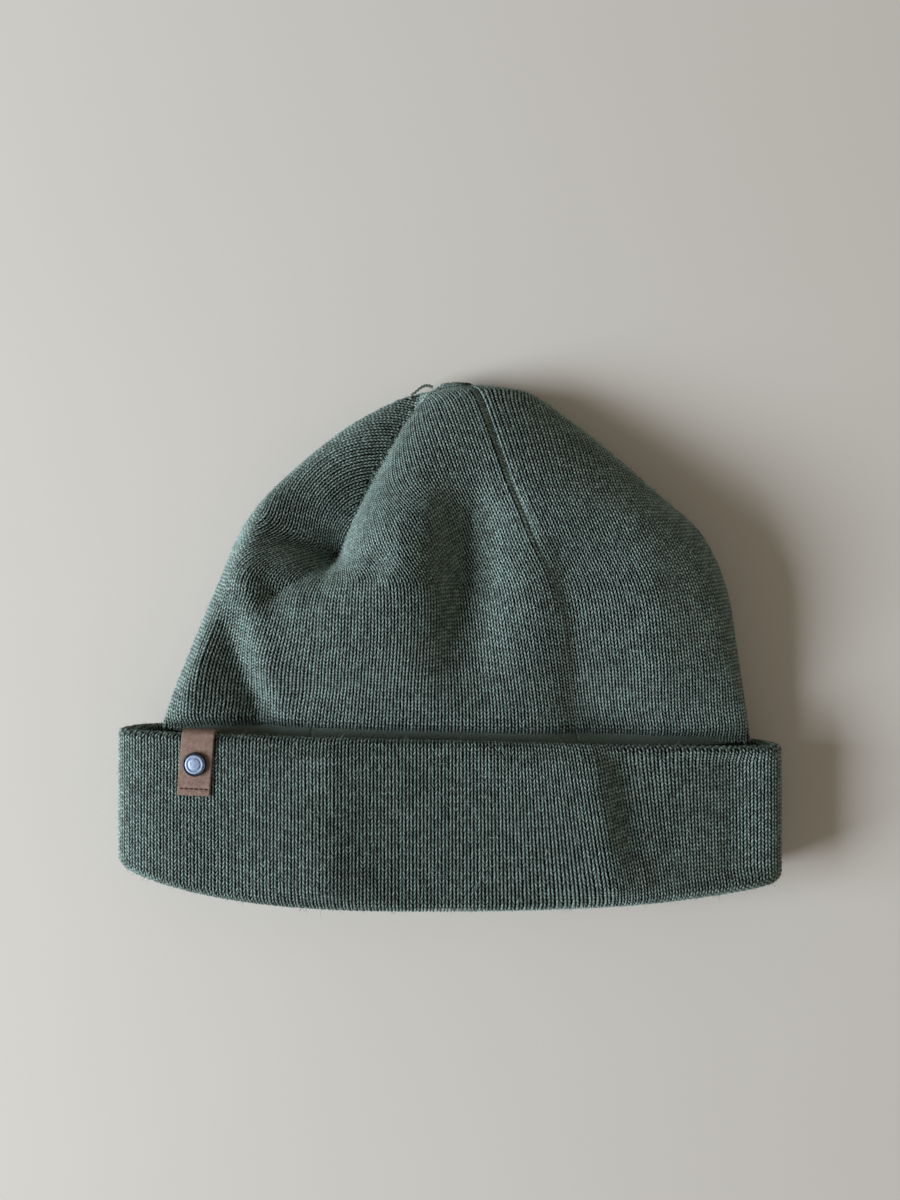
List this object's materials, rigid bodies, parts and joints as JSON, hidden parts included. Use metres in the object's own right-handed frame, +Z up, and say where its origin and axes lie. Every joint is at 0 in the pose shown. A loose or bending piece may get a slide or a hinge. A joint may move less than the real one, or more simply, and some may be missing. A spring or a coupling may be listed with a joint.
{
  "type": "knit beanie",
  "caption": "Soft knitted beanie lying flat: a lined crown of seamed gores, a deep turned-up cuff, and a folded tab label with a plain round badge on the cuff.",
  "frame": {"origin": "under the middle of the hat's box, on the surface that the hat lies on", "axes": "+Z up from that surface, +Y from the hem to the tip of the crown, +X to the right of someone looking down at the front"},
  "size_m": [0.24, 0.1922, 0.0454],
  "materials": {
    "slate_knit": "matte woollen plain knit, slate green-grey",
    "lining_knit": "matte woollen plain knit, slightly darker",
    "seam_yarn": "matte linking yarn",
    "brown_suede": "matte suede",
    "brown_thread": "matte sewing thread",
    "dark_metal": "satin dark rim",
    "blue_grey_enamel": "satin blue-grey"
  },
  "bodies": {
    "root": {"crown_front_gore": "slate_knit", "crown_left_gore": "slate_knit", "crown_right_gore": "slate_knit", "crown_back_gore": "slate_knit", "crown_seam_front_left": "seam_yarn", "crown_seam_front_right": "seam_yarn", "crown_seam_back_left": "seam_yarn", "crown_seam_back_right": "seam_yarn", "crown_tip": "seam_yarn", "closing_yarn_end": "seam_yarn", "lining_front_gore": "lining_knit", "lining_left_gore": "lining_knit", "lining_right_gore": "lining_knit", "lining_back_gore": "lining_knit", "lining_seam_front_left": "seam_yarn", "lining_seam_front_right": "seam_yarn", "lining_seam_back_left": "seam_yarn", "lining_seam_back_right": "seam_yarn", "lining_tip": "seam_yarn", "cuff_outer_layer": "slate_knit", "cuff_inner_layer": "slate_knit", "cuff_join_seam": "seam_yarn", "tab_label": "brown_suede", "tab_stitch": "brown_thread", "badge_bezel": "dark_metal", "badge_disc": "blue_grey_enamel"}
  },
  "joints": []
}
